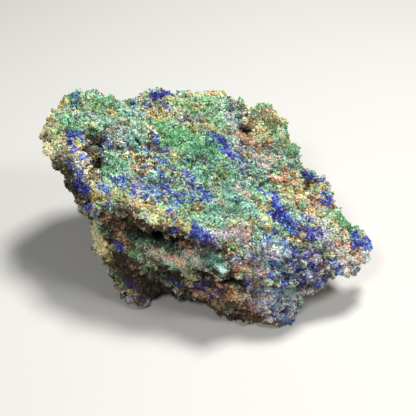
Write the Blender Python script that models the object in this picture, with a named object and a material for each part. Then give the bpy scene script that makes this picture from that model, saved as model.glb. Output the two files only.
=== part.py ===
# Azurite and malachite specimen: one broken lump of crusted rock that rests on a foot at the
# front left, a foot at the front right and a broad heel at the back.
#
# The form is worked out in three steps. Corner points of the broken faces, in millimetres, make a
# coarse hull. Rays leave an ellipsoid inside the hull along its normals, one for each point of a
# fine box grid, and each point goes where its ray meets the hull. Lumps, hollows, ledges and the
# knobbly crust then move the points in or out along the rays.

import bmesh
import bpy
import numpy as np
from mathutils import Matrix, Vector, noise
from mathutils.bvhtree import BVHTree

MM = 0.001

# Cells of the box grid along the heart's length, depth and height.
GRID_CELLS = (38, 24, 24)
# The ellipsoid inside the rock that the rays leave: its middle and half sizes, in mm, and the
# angles in degrees that lay its length from the high left end at the back to the low right end
# at the front and raise its back edge.
HEART = (-0.5, -0.5, 25.0)
HEART_HALF = (38.0, 18.0, 9.0)
HEART_DIP = 12.0
HEART_SWING = -14.0
HEART_ROLL = 12.0
NEWTON_STEPS = 60
# How far each of the grid's directions strays, so that no straight rows show in the crust.
GRID_STRAY = 0.011
STRAY_SEED = 7
# Rounds of moving each point into the larger of its cells, and back onto the hull.
EVENING_ROUNDS = 6

# Corner points of the rock, in mm: X to the right, Y to the back, Z up.
# The edge of the top face, clockwise from the left end.
TOP_EDGE = [
    (-53, 3, 44), (-53, 8, 46), (-47, 15, 47), (-43, 22, 49), (-36, 25, 49), (-30, 23, 46),
    (-24, 24, 45), (-17, 26, 46), (-11, 28, 46), (-1, 29, 46), (4, 30, 45), (8, 28, 41),
    (11, 26, 41), (17, 26, 41), (22, 24, 39), (24, 20, 37), (25, 16, 35), (28, 12, 34),
    (29, 9, 31), (33, 7, 30), (37, 3, 28), (39, -3, 26), (38, -8, 24), (40, -13, 23),
    (47, -14, 25), (53, -16, 25), (33, -21, 21), (23, -25, 24), (15, -27, 26), (7, -28, 28),
    (3, -29, 29), (-2, -29, 30), (-6, -27, 32), (-11, -26, 33), (-16, -24, 35), (-22, -22, 36),
    (-29, -20, 37), (-33, -18, 37), (-37, -13, 38), (-42, -7, 40), (-48, -2, 41),
]
TOP_FACE = [
    (-39, 7, 46), (-38, -2, 43), (-26, 8, 45), (-20, 15, 45), (-19, 4, 43), (-24, -8, 40),
    (-11, -1, 40), (-8, 16, 42), (-12, -13, 37), (-1, 5, 39), (2, -8, 35), (-2, -20, 33),
    (11, 16, 38), (17, 19, 40), (14, 7, 36), (19, 1, 32), (27, 2, 30), (19, -8, 29),
    (28, -15, 25), (12, -18, 30), (41, -18, 22),
]
# The right end, its underside and the steep face below the front edge on the right.
RIGHT_END = [
    (54, -19, 18), (53, -20, 15), (46, -23, 13), (37, -21, 12), (34, -23, 11), (30, -25, 9),
    (27, -26, 5), (13, -29, 15), (19, -30, 18), (24, -29, 19), (16, -29, 6), (22, -29, 9),
]
# The front on the left: a hollow under the top edge, a ledge, and the knobbly face below it.
HOLLOW = [(-27, -16, 29), (-22, -16, 27), (-16, -18, 26), (-10, -20, 26), (-2, -24, 25)]
LEDGE = [
    (-24, -19, 24), (-17, -21, 24), (-9, -24, 24), (-1, -26, 24), (6, -28, 23),
    (-27, -18, 17), (-17, -23, 18), (-11, -25, 17), (-2, -27, 15), (7, -28, 17),
    (-14, -22, 11), (-5, -25, 10), (4, -27, 9), (11, -28, 8),
]
UNDERCUT = [(-13, -20, 7), (-8, -22, 6), (1, -25, 4), (7, -27, 1), (-12, -15, 4), (-5, -17, 3)]
LEFT_FLANK = [
    (-45, 6, 38), (-41, -2, 35), (-37, -9, 32), (-34, -14, 30), (-40, 10, 26), (-36, -4, 23),
    (-32, -16, 22), (-33, 6, 12), (-31, -6, 11),
]
FEET = [
    (-29, -18, 13), (-28, -19, 6), (-26, -21, -2), (-22, -25, -2), (-17, -24, -2), (-14, -19, 6),
    (-16, -14, -2), (-26, -9, -2), (18, -29, -1), (23, -27, -1), (26, -17, -1), (14, -19, -1),
    (27, -5, 2),
]
BACK = [
    (-43, 22, 38), (-34, 28, 36), (-20, 29, 34), (-6, 31, 34), (6, 33, 32), (18, 31, 30),
    (26, 20, 27), (31, 12, 22), (36, 3, 18), (40, -8, 15),
    (-36, 20, 20), (-24, 27, 18), (-8, 32, 16), (8, 31, 14), (20, 27, 13), (27, 14, 11),
    (32, 2, 9), (35, -12, 9),
]
HEEL = [
    (-28, 8, 2), (-21, 17, -1), (-8, 23, -1), (4, 26, -1), (15, 22, -1), (22, 9, -1),
    (-15, 11, -1), (10, 12, -1), (-2, 8, 3), (4, -10, 4), (15, -4, 3), (-13, -2, 4),
]
CORNERS = TOP_EDGE + TOP_FACE + RIGHT_END + HOLLOW + LEDGE + UNDERCUT + LEFT_FLANK + FEET + BACK + HEEL

# Lumps and hollows: place in mm, radius in mm and height in mm, below zero for a hollow.
LUMPS = {
    "ochre knob": ((-32, -18, 24), 4.5, 2.2),
    "ochre knob, lower": ((-31, -18, 18), 3.5, 1.2),
    "malachite block": ((-25, 8, 45), 7.5, 1.6),
    "malachite fold": ((-18, 6, 43), 4.5, 2.2),
    "malachite fold, lower": ((-18, 1, 42), 3.5, 1.4),
    "edge knob": ((11, 26, 41), 3.0, 1.0),
    "edge knob, middle": ((17, 27, 41), 3.5, 1.2),
    "edge knob, right": ((22, 23, 39), 3.0, 1.0),
    "front swell": ((6, -26, 29), 5.0, 1.3),
    "ledge nodule": ((-13, -24, 24), 3.5, 1.3),
    "ledge nodule, middle": ((-5, -26, 23), 3.5, 1.5),
    "ledge nodule, right": ((3, -28, 22), 3.5, 1.8),
    "tip knob": ((45, -15, 23), 4.0, 0.8),
    "clump under the right end": ((34, -23, 11), 3.0, 1.4),
    "foot knuckle": ((-20, -20, 4), 4.0, 1.2),
    "cavity": ((-33, 6, 46), 3.8, -4.5),
    "crack": ((-33, 1, 45), 3.0, -3.5),
    "crack, middle": ((-33, -4, 42), 2.8, -3.0),
    "crack, end": ((-34, -9, 40), 2.8, -2.5),
    "hole beside the fold": ((-14, 4, 41), 3.2, -3.0),
    "hole at the right": ((11, 16, 39), 2.8, -3.0),
    "hollow in the face": ((8, -29, 15), 3.5, -3.0),
    "dip behind the block": ((-26, 17, 46), 6.0, -1.4),
    "valley beside the vein": ((21, -2, 31), 6.0, -1.2),
}
# The crust, across and high in mm: its broad swells, then its knobs and small knobs, each with
# the place in the noise that they are taken from.
SWELL_SIZE, SWELL_HEIGHT = 13.0, 0.9
KNOB_SIZE, KNOB_HEIGHT, KNOB_PLACE = 6.0, 1.3, 3.7
GRAIN_SIZE, GRAIN_HEIGHT, GRAIN_PLACE = 3.1, 0.8, 8.1
# Bedding ledges that cross the flanks, alike in tilt to the top face: how far apart, how far they
# stand out and how much they wander, in mm, and the bedding's upward normal.
BED_STEP, BED_HEIGHT, BED_WANDER = 8.5, 0.8, 4.0
BED_NORMAL = (0.17, -0.22, 1.0)
# The crust fades out towards the table from this height, in mm, so that the feet stay flat.
CRUST_FADE = 5.0


def clear_scene():
    for obj in list(bpy.data.objects):
        bpy.data.objects.remove(obj, do_unlink=True)


def heart_axes():
    """The heart's length, depth and height directions, as rows."""
    swing = Matrix.Rotation(np.radians(HEART_SWING), 3, "Z")
    dip = Matrix.Rotation(np.radians(HEART_DIP), 3, "Y")
    roll = Matrix.Rotation(np.radians(HEART_ROLL), 3, "X")
    return np.array(swing @ dip @ roll).T


def nearest_directions(points):
    """The direction of the heart's ray that runs through each point.

    A point's foot on the ellipsoid is half**2 * point / (half**2 + reach), where reach makes
    the foot lie on the ellipsoid. Newton's method finds it.
    """
    half = np.array(HEART_HALF)
    away = (points - np.array(HEART)) @ heart_axes().T
    reach = np.zeros(len(points))
    for _ in range(NEWTON_STEPS):
        ratio = half * away / (half**2 + reach[:, None])
        excess = (ratio**2).sum(1) - 1
        slope = (-2 * ratio**2 / (half**2 + reach[:, None])).sum(1)
        reach -= excess / slope
    return half * away / (half**2 + reach[:, None])


def rays(directions):
    """The start on the heart's ellipsoid, and the outward normal there, for each direction."""
    half = np.array(HEART_HALF)
    normals = directions / half
    normals /= np.linalg.norm(normals, axis=1, keepdims=True)
    return np.array(HEART) + half * directions @ heart_axes(), normals @ heart_axes()


def coarse_hull():
    """A tree of the triangles that join neighbouring corner points."""
    corners = np.array(CORNERS, float)
    directions = nearest_directions(corners)
    hull = bmesh.new()
    for direction in directions:
        hull.verts.new(direction)
    hull.verts.ensure_lookup_table()
    hull.verts.index_update()
    bmesh.ops.convex_hull(hull, input=hull.verts)
    triangles = [[vert.index for vert in face.verts] for face in hull.faces]
    hull.free()
    return BVHTree.FromPolygons([Vector(corner) for corner in corners], triangles)


def box_grid():
    """Directions of a box grid drawn on a sphere, and the quads that join them."""
    cells = np.array(GRID_CELLS)
    quads = []
    for axis in range(3):
        across, along = (axis + 1) % 3, (axis + 2) % 3
        i, j = np.meshgrid(np.arange(cells[across]), np.arange(cells[along]), indexing="ij")
        for side in (0, 1):
            steps = ((0, 0), (1, 0), (1, 1), (0, 1)) if side else ((0, 0), (0, 1), (1, 1), (1, 0))
            quad = np.zeros((i.size, 4, 3), int)
            quad[:, :, axis] = side * cells[axis]
            for corner, (di, dj) in enumerate(steps):
                quad[:, corner, across] = i.ravel() + di
                quad[:, corner, along] = j.ravel() + dj
            quads.append(quad)
    quads = np.concatenate(quads)
    places, index = np.unique(quads.reshape(-1, 3), axis=0, return_inverse=True)
    # Equal angles, not equal lengths, keep the cells alike from the middle to the corners.
    directions = np.tan(np.pi / 4 * (2 * places / cells - 1))
    directions /= np.linalg.norm(directions, axis=1, keepdims=True)
    random = np.random.default_rng(STRAY_SEED)
    directions += random.uniform(-GRID_STRAY, GRID_STRAY, directions.shape)
    directions /= np.linalg.norm(directions, axis=1, keepdims=True)
    return directions, index.reshape(-1, 4)


def cell_centres(points, quads):
    """The middle of the cells around each point, where a large cell counts for more."""
    corners = points[quads]
    middles = corners.mean(1)
    crosses = np.cross(corners[:, 2] - corners[:, 0], corners[:, 3] - corners[:, 1])
    areas = np.linalg.norm(crosses, axis=1)[:, None]
    total, weight = np.zeros_like(points), np.zeros((len(points), 1))
    for corner in range(4):
        np.add.at(total, quads[:, corner], areas * middles)
        np.add.at(weight, quads[:, corner], areas)
    return total / weight


def on_hull(hull, directions, quads):
    """Where the rays meet the hull, evened out along it."""
    starts, normals = rays(directions)
    points = np.array([hull.ray_cast(Vector(a), Vector(n))[0] for a, n in zip(starts, normals)])
    for _ in range(EVENING_ROUNDS):
        points = np.array([hull.find_nearest(Vector(p))[0] for p in cell_centres(points, quads)])
    return points


def knobs(points, size, noise_place):
    """Round-topped knobs of about the given size: 1 on a knob's middle, below 0 between them."""
    places = points / size + noise_place
    nearest = np.array([noise.voronoi(Vector(place))[0][0] for place in places])
    return 1 - 2 * nearest


def ledges(points, outward, swells):
    """Waves with a steep lower side, which end on the flat-lying faces."""
    normal = np.array(BED_NORMAL) / np.linalg.norm(BED_NORMAL)
    phase = 2 * np.pi * (points @ normal + BED_WANDER * swells) / BED_STEP
    steepness = np.clip(1.4 - 2 * np.abs(outward @ normal), 0, 1)
    return BED_HEIGHT * steepness * (np.sin(phase) - 0.5 * np.sin(2 * phase))


def crust(points, outward):
    """How far the crust stands out at each point, in mm."""
    swells = np.array([noise.noise(Vector(point / SWELL_SIZE)) for point in points])
    height = SWELL_HEIGHT * swells + ledges(points, outward, swells)
    height += KNOB_HEIGHT * knobs(points, KNOB_SIZE, KNOB_PLACE)
    height += GRAIN_HEIGHT * knobs(points, GRAIN_SIZE, GRAIN_PLACE)
    for place, radius, rise in LUMPS.values():
        near = np.clip(1 - ((points - np.array(place)) ** 2).sum(1) / radius**2, 0, 1)
        height += rise * near * (2 - near)
    return height * np.clip(points[:, 2] / CRUST_FADE, 0, 1)


def rock_material():
    material = bpy.data.materials.new("malachite_crust")
    material.use_nodes = True
    shader = material.node_tree.nodes["Principled BSDF"]
    shader.inputs["Base Color"].default_value = (0.20, 0.33, 0.22, 1)
    shader.inputs["Roughness"].default_value = 0.85
    shader.inputs["Metallic"].default_value = 0.0
    return material


def main():
    clear_scene()
    directions, quads = box_grid()
    points = on_hull(coarse_hull(), directions, quads)
    outward = rays(nearest_directions(points))[1]
    points += crust(points, outward)[:, None] * outward
    points[:, 2] = np.maximum(points[:, 2], 0)
    # The origin is under the middle of the rock, on the table.
    points[:, :2] -= (points[:, :2].min(0) + points[:, :2].max(0)) / 2
    mesh = bpy.data.meshes.new("azurite_rock")
    mesh.from_pydata((points * MM).tolist(), [], quads.tolist())
    mesh.materials.append(rock_material())
    rock = bpy.data.objects.new("azurite_rock", mesh)
    bpy.context.collection.objects.link(rock)


main()
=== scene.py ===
import math
import bpy
import bmesh
import numpy as np
from mathutils.bvhtree import BVHTree
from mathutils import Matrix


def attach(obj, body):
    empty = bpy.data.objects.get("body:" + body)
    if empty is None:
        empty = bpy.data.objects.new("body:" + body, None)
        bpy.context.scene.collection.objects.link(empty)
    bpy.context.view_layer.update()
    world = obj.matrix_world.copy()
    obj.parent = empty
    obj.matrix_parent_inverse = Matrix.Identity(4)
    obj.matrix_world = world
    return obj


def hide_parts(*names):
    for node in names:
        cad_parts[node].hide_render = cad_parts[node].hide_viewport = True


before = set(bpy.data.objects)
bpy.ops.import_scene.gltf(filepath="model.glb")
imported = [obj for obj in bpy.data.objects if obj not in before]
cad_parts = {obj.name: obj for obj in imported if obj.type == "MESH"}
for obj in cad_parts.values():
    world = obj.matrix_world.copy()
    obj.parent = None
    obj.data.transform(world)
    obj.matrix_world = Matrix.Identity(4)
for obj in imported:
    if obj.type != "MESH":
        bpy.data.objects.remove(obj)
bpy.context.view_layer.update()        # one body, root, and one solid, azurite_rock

mm = 0.001      # shapes are worked out in millimetres and written to the meshes in metres
tiny = 1e-9     # the least number to divide by

# Light, floor and camera, in mm. Places on the rock are counted in the camera's frame, which is
# this many steps wide and high.
studio = dict(
    target=(1.05, -1.27, 21.0), elevation=40.0, distance=296.8, lens=85.0, sensor=36.0, frame=416,
    clipStart=10.0, clipEnd=10000.0,
    floorSize=2400.0, floorColour=(0.55, 0.545, 0.53), floorShade=0.97, floorGrain=14.0, floorRough=0.9,
    worldColour=(0.86, 0.92, 1.0), worldStrength=0.07,
    lamps=(
        # place, width, power in watts, colour
        ((113, 79, 470), 110, 2.95, (1.0, 0.985, 0.95)),
        ((262, -151, 380), 120, 0.85, (1.0, 0.99, 0.96)),
        ((-103, -284, 380), 90, 0.8, (1.0, 0.99, 0.97)),
    ),
)

# random numbers: the multipliers that scatter whole numbers, and how many of their low bits count
scatterBy, seedBy = (73856093, 19349663, 83492791), 668265263
firstMix, secondMix = 1274126177, 461845907
lowBits, outBits = 0xFFFFFFFF, 0xFFFFFF
layerShift, layerSeed = 17.3, 31     # what moves each finer layer of noise, and adds to its seed
seedMargin = 0.12                    # how far seed points keep from the sides of their cubes
spotFade = (0.55, 1.9)               # radii between which a spot fades out
batch = 20000                        # points worked out at a time
cubeCorners = [np.array([k & 1, (k >> 1) & 1, k >> 2]) for k in range(8)]


def smooth(low, high, values):
    # 0 below low, 1 above high, and 3t^2 - 2t^3 between them
    t = np.clip((values - low) / (high - low), 0, 1)
    return t * t * (3 - 2 * t)


def folded(number, shift):
    # the low bits, each crossed with the bit that stands this much higher
    return (number & lowBits) ^ ((number >> shift) & (lowBits >> shift))


def cellRandom(cells, seed):
    # whole numbers x, y, z are multiplied, mixed and folded into one number from 0 to 1
    x, y, z = (cells[..., k].astype(np.int64) * scatterBy[k] for k in range(3))
    mixed = x ^ y ^ z ^ (seed * seedBy)
    mixed = folded(mixed, 13) * firstMix
    mixed = folded(mixed, 16) * secondMix
    return (folded(mixed, 15) & outBits) / outBits


def cornerShare(corner, t):
    # a cube corner's share in a point t across the cube: t or 1 - t in x, y and z, multiplied
    return np.prod(np.where(corner, t, 1 - t), axis=1)


def softNoise(points, size, seed, layers=1):
    # -1 to 1: random numbers at the corners of cubes of this size, blended by 3t^2 - 2t^3;
    # each further layer is half the size and half the strength
    total, most = np.zeros(len(points)), 0.0
    for layer in range(layers):
        place = points / (size / 2**layer) + layerShift * layer
        cube = np.floor(place).astype(np.int64)
        t = smooth(0, 1, place - cube)
        value = np.zeros(len(points))
        for corner in cubeCorners:
            value += cornerShare(corner, t) * cellRandom(cube + corner, seed + layerSeed * layer)
        total += (2 * value - 1) / 2**layer
        most += 1 / 2**layer
    return total / most


def warped(points, size, by, seed):
    # the points moved by noise, so that what is worked out there has uneven borders
    return points + by * np.stack([softNoise(points, size, seed + k) for k in range(3)], axis=1)


def nearestSeeds(points, size, seed):
    # one seed point near the middle of each cube of this size: the distances to the nearest two,
    # in sizes, and the cube that holds the nearest
    place = points / size
    cube = np.floor(place - 0.5).astype(np.int64)
    first = np.full(len(points), np.inf)
    second, home = first, cube.copy()
    for corner in cubeCorners:
        cell = cube + corner
        stray = np.stack([cellRandom(cell, seed + c) for c in range(3)], axis=1)
        far = np.linalg.norm(cell + seedMargin + (1 - 2 * seedMargin) * stray - place, axis=1)
        closer = far < first
        second = np.where(closer, first, np.minimum(second, far))
        first = np.where(closer, far, first)
        home[closer] = cell[closer]
    return first, second, home


def toSegments(points, rows):
    # distance from each point to each row's line from (x, y, z) to (x, y, z)
    start, run = rows[:, :3], rows[:, 3:6] - rows[:, :3]
    away = points[:, None] - start
    along = np.clip((away * run).sum(2) / np.maximum((run**2).sum(1), tiny), 0, 1)
    return np.linalg.norm(away - along[..., None] * run, axis=2)


def viewAxes(spec):
    # the camera's place and its directions to the right, up and forward; it looks along +y and down
    tilt = math.radians(spec["elevation"])
    right, up = np.array([1.0, 0, 0]), np.array([0, math.sin(tilt), math.cos(tilt)])
    forward = np.array([0, math.cos(tilt), -math.sin(tilt)])
    return np.array(spec["target"]) - spec["distance"] * forward, right, up, forward


def placesSeen(tree, rows):
    # rows start with two places in the camera's frame, each across and down; each becomes the x, y, z
    # that the camera sees there or, beside the rock, the rock's nearest place to the ray
    eye, right, up, forward = viewAxes(studio)
    step = studio["sensor"] / studio["lens"] / studio["frame"]
    middle = studio["frame"] / 2
    found = []
    for row in rows:
        ends = []
        for across, down in (row[:2], row[2:4]):
            ray = forward + step * ((across - middle) * right - (down - middle) * up)
            ray /= np.linalg.norm(ray)
            seen = tree.ray_cast(eye, ray)[0]
            ends.extend(seen or tree.find_nearest(eye + studio["distance"] * ray)[0])
        found.append((*ends, *row[4:]))
    return np.array(found)


def spotField(points, rows):
    # a row's strength within about half its radius, fading to nothing at nearly two radii;
    # the strongest row wins
    out = np.zeros(len(points))
    for part in range(0, len(points), batch):
        far = toSegments(points[part:part + batch], rows)
        out[part:part + batch] = (rows[:, 7] * (1 - smooth(*spotFade, far / rows[:, 6]))).max(1)
    return out


def turned(angles):
    # a rotation for each row of three angles: about x, then y, then z
    (a, b, c), (sa, sb, sc) = np.cos(angles).T, np.sin(angles).T
    return np.stack([
        np.stack([b * c, sa * sb * c - a * sc, a * sb * c + sa * sc], axis=1),
        np.stack([b * sc, sa * sb * sc + a * c, a * sb * sc - sa * c], axis=1),
        np.stack([-sb, sa * b, a * b], axis=1),
    ], axis=1)


def inScene(name, data):
    # an object with this mesh, lamp or camera, in the scene
    made = bpy.data.objects.new(name, data)
    bpy.context.scene.collection.objects.link(made)
    return made


def meshObject(name, points, faces):
    # one flat-shaded object at the origin, its place in its mesh, from triangles or quads
    mesh = bpy.data.meshes.new(name)
    mesh.vertices.add(len(points))
    mesh.vertices.foreach_set("co", (np.asarray(points) * mm).astype(np.float32).ravel())
    mesh.loops.add(faces.size)
    mesh.loops.foreach_set("vertex_index", faces.ravel().astype(np.int32))
    mesh.polygons.add(len(faces))
    mesh.polygons.foreach_set("loop_start", np.arange(0, faces.size, faces.shape[1], dtype=np.int32))
    mesh.update(calc_edges=True)
    mesh.polygons.foreach_set("use_smooth", np.zeros(len(faces), bool))
    return inScene(name, mesh)


def setNumbers(piece, name, values):
    # one number a vertex, which the materials read by name
    layer = piece.data.attributes.new(name, "FLOAT", "POINT")
    layer.data.foreach_set("value", np.asarray(values, np.float32))


def setColours(piece, name, values):
    # one colour a vertex, red, green and blue
    layer = piece.data.attributes.new(name, "FLOAT_COLOR", "POINT")
    opaque = np.column_stack([values, np.ones(len(values))])
    layer.data.foreach_set("color", opaque.astype(np.float32).ravel())


def setMap(piece, name, corners):
    # corners holds a u and a v for each corner of each face
    layer = piece.data.uv_layers.new(name=name)
    layer.data.foreach_set("uv", np.asarray(corners, np.float32).ravel())


def readPoints(thing):
    # the points of the object as its modifiers leave it, in mm
    shown = thing.evaluated_get(bpy.context.evaluated_depsgraph_get()).data
    flat = np.empty(len(shown.vertices) * 3, np.float32)
    shown.vertices.foreach_get("co", flat)
    return flat.reshape(-1, 3).astype(float) / mm


# The fine skin of the rock. heart is the middle of an ellipsoid inside it, heartHalf its half
# lengths and heartTurns its turns in degrees about x, then y, then z.
rockSkin = dict(
    coarseCells=(42, 26, 26), finer=6, weldGap=1e-6,
    heart=(0.5, -1.8, 25.0), heartHalf=(38.0, 18.0, 9.0), heartTurns=(12.0, 12.0, -14.0),
    evenings=8, evenBy=0.6, roundings=4, aroundRounds=3, dipBy=1.6, mapMargin=0.01,
    # the box's faces are left, right, front, back, under and top; each group is one piece
    groups=(
        ("azurite_rock_top", (5,)), ("azurite_rock_front", (2,)),
        ("azurite_rock_back", (3, 0)), ("azurite_rock_under", (4, 1)),
    ),
)


def boxGrid(cells):
    # the lattice points of a box's six faces, once each, the quads that join them,
    # the place of every quad's corners on its face, and the face's number
    cells = np.array(cells)
    quads, sheet, face = [], [], []
    for axis in range(3):
        across, along = (axis + 1) % 3, (axis + 2) % 3
        i, j = np.meshgrid(np.arange(cells[across]), np.arange(cells[along]), indexing="ij")
        for side in (0, 1):
            steps = ((0, 0), (1, 0), (1, 1), (0, 1)) if side else ((0, 0), (0, 1), (1, 1), (1, 0))
            quad = np.zeros((i.size, 4, 3), int)
            spread = np.zeros((i.size, 4, 2))
            quad[:, :, axis] = side * cells[axis]
            for corner, (di, dj) in enumerate(steps):
                quad[:, corner, across] = i.ravel() + di
                quad[:, corner, along] = j.ravel() + dj
                spread[:, corner, 0] = (i.ravel() + di) / cells[across]
                spread[:, corner, 1] = (j.ravel() + dj) / cells[along]
            quads.append(quad)
            sheet.append(spread)
            face.append(np.full(i.size, 2 * axis + side))
    quads, sheet, face = (np.concatenate(part) for part in (quads, sheet, face))
    places, index = np.unique(quads.reshape(-1, 3), axis=0, return_inverse=True)
    return places, index.reshape(-1, 4), sheet, face


def heartPoints(spec, cells, places):
    # equal angles over the box's faces: where each lattice direction meets the heart's ellipsoid
    directions = np.tan(np.pi / 4 * (2 * places / np.array(cells) - 1))
    directions /= np.linalg.norm(directions, axis=1, keepdims=True)
    axes = turned(np.radians([spec["heartTurns"]]))[0].T
    return np.array(spec["heart"]) + np.array(spec["heartHalf"]) * directions @ axes


def crossed(corners):
    # a quad's diagonals crossed: it stands on the quad and is twice its area long
    return np.cross(corners[:, 2] - corners[:, 0], corners[:, 3] - corners[:, 1])


def gathered(values, quads, count):
    # for each point, the sum over the quads around it of each quad's own values
    sums = [np.bincount(quads.ravel(), np.repeat(column, 4), count) for column in values.T]
    return np.stack(sums, axis=1)


def meanOfCells(points, quads):
    # for each point, the middle of the quads around it, where a large quad counts for more
    corners = points[quads]
    areas = np.linalg.norm(crossed(corners), axis=1)
    weighted = np.column_stack([corners.mean(1) * areas[:, None], areas])
    total = gathered(weighted, quads, len(points))
    return total[:, :3] / total[:, 3:]


def vertexNormals(points, quads):
    # the sum of the crossed diagonals of the quads around a point, made one long
    total = gathered(crossed(points[quads]), quads, len(points))
    return total / np.maximum(np.linalg.norm(total, axis=1, keepdims=True), tiny)


def weldedCopy(node, gap):
    # the solid's mesh with its loose triangles joined across this gap in metres, to lay the skin on
    mesh = bmesh.new()
    mesh.from_mesh(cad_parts[node].data)
    bmesh.ops.remove_doubles(mesh, verts=mesh.verts, dist=gap)
    copy = bpy.data.meshes.new("weldedCopy")
    mesh.to_mesh(copy)
    mesh.free()
    return inScene("weldedCopy", copy)


def laidOn(solid, points, quads, method):
    # the points moved onto the solid, outward along their normals or to the nearest place
    cast = meshObject("cast", points, quads)
    wrap = cast.modifiers.new("wrap", "SHRINKWRAP")
    wrap.target, wrap.wrap_method = solid, method
    if method == "PROJECT":
        wrap.use_positive_direction, wrap.use_negative_direction = True, False
    laid = readPoints(cast)
    bpy.data.objects.remove(cast)
    return laid


def skinOfSolid(spec):
    # a coarse grid is cast onto the solid, evened there, filled in finer, laid on again and rounded
    cells = np.array(spec["coarseCells"])
    places, quads, _, _ = boxGrid(cells)
    solid = weldedCopy("azurite_rock", spec["weldGap"])
    points = laidOn(solid, heartPoints(spec, cells, places), quads, "PROJECT")
    keep, even = 1 - spec["evenBy"], spec["evenBy"]
    for _ in range(spec["evenings"]):
        evened = keep * points + even * meanOfCells(points, quads)
        points = laidOn(solid, evened, quads, "NEAREST_SURFACEPOINT")
    finer = spec["finer"]
    finePlaces, fineQuads, sheet, face = boxGrid(cells * finer)
    index = np.zeros(cells + 1, int)
    index[tuple(places.T)] = np.arange(len(places))
    low = np.minimum(finePlaces // finer, cells - 1)
    share = finePlaces / finer - low
    fine = np.zeros((len(finePlaces), 3))
    for corner in cubeCorners:
        fine += cornerShare(corner, share)[:, None] * points[index[tuple((low + corner).T)]]
    fine = laidOn(solid, fine, fineQuads, "NEAREST_SURFACEPOINT")
    for _ in range(spec["roundings"]):
        fine = meanOfCells(fine, fineQuads)
    bpy.data.objects.remove(solid)
    return fine, fineQuads, sheet, face


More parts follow.
